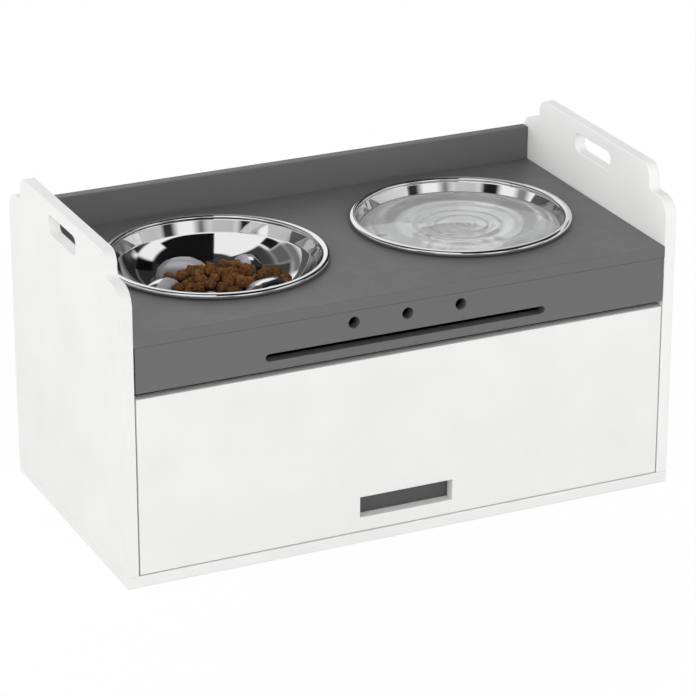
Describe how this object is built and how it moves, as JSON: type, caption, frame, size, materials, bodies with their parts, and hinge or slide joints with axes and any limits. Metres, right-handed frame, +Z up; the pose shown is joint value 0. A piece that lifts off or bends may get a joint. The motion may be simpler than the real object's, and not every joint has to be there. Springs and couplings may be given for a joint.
{
  "type": "elevated dog feeder",
  "caption": "Low board cabinet that raises a slow feeder bowl and a water bowl to a dog's height, with a storage drawer under them.",
  "frame": {"origin": "middle of the footprint, on the floor", "axes": "+Z up, -Y out of the drawer front, +X to the right as seen from the front"},
  "size_m": [0.6, 0.31, 0.338],
  "materials": {
    "white_paint": "satin white paint on board",
    "grey_paint": "satin grey paint on board",
    "bare_wood": "bare planed softwood",
    "bottom_sheet": "smooth hardboard",
    "zinc": "zinc plated",
    "bowl_steel": "polished stainless steel"
  },
  "bodies": {
    "cabinet": {"base_panel": "white_paint", "left_side_panel": "white_paint", "right_side_panel": "white_paint", "back_panel": "grey_paint", "top_panel": "grey_paint", "front_apron": "grey_paint", "left_runner": "bare_wood", "right_runner": "bare_wood", "drawer_stops": "bare_wood", "cam_bolts": "zinc", "cam_nuts": "zinc", "dowels": "bare_wood", "base_screws": "zinc", "runner_screws": "zinc", "stop_screws": "zinc"},
    "drawer": {"drawer_front": "white_paint", "drawer_box_front": "grey_paint", "drawer_left_side": "grey_paint", "drawer_right_side": "grey_paint", "drawer_back": "grey_paint", "drawer_bottom": "bottom_sheet", "drawer_corner_screws": "zinc", "drawer_front_screws": "zinc"},
    "slow_bowl": {"slow_feeder_bowl": "bowl_steel"},
    "water_bowl": {"water_bowl": "bowl_steel"}
  },
  "joints": [
    {"name": "drawer_slide", "type": "slide", "parent": "cabinet", "child": "drawer", "axis": [0, -1, 0], "range_m": [0, 0.1975]},
    {"name": "slow_bowl_lift", "type": "slide", "parent": "cabinet", "child": "slow_bowl", "axis": [0, 0, 1], "range_m": [0, 0.1]},
    {"name": "water_bowl_lift", "type": "slide", "parent": "cabinet", "child": "water_bowl", "axis": [0, 0, 1], "range_m": [0, 0.1]}
  ]
}
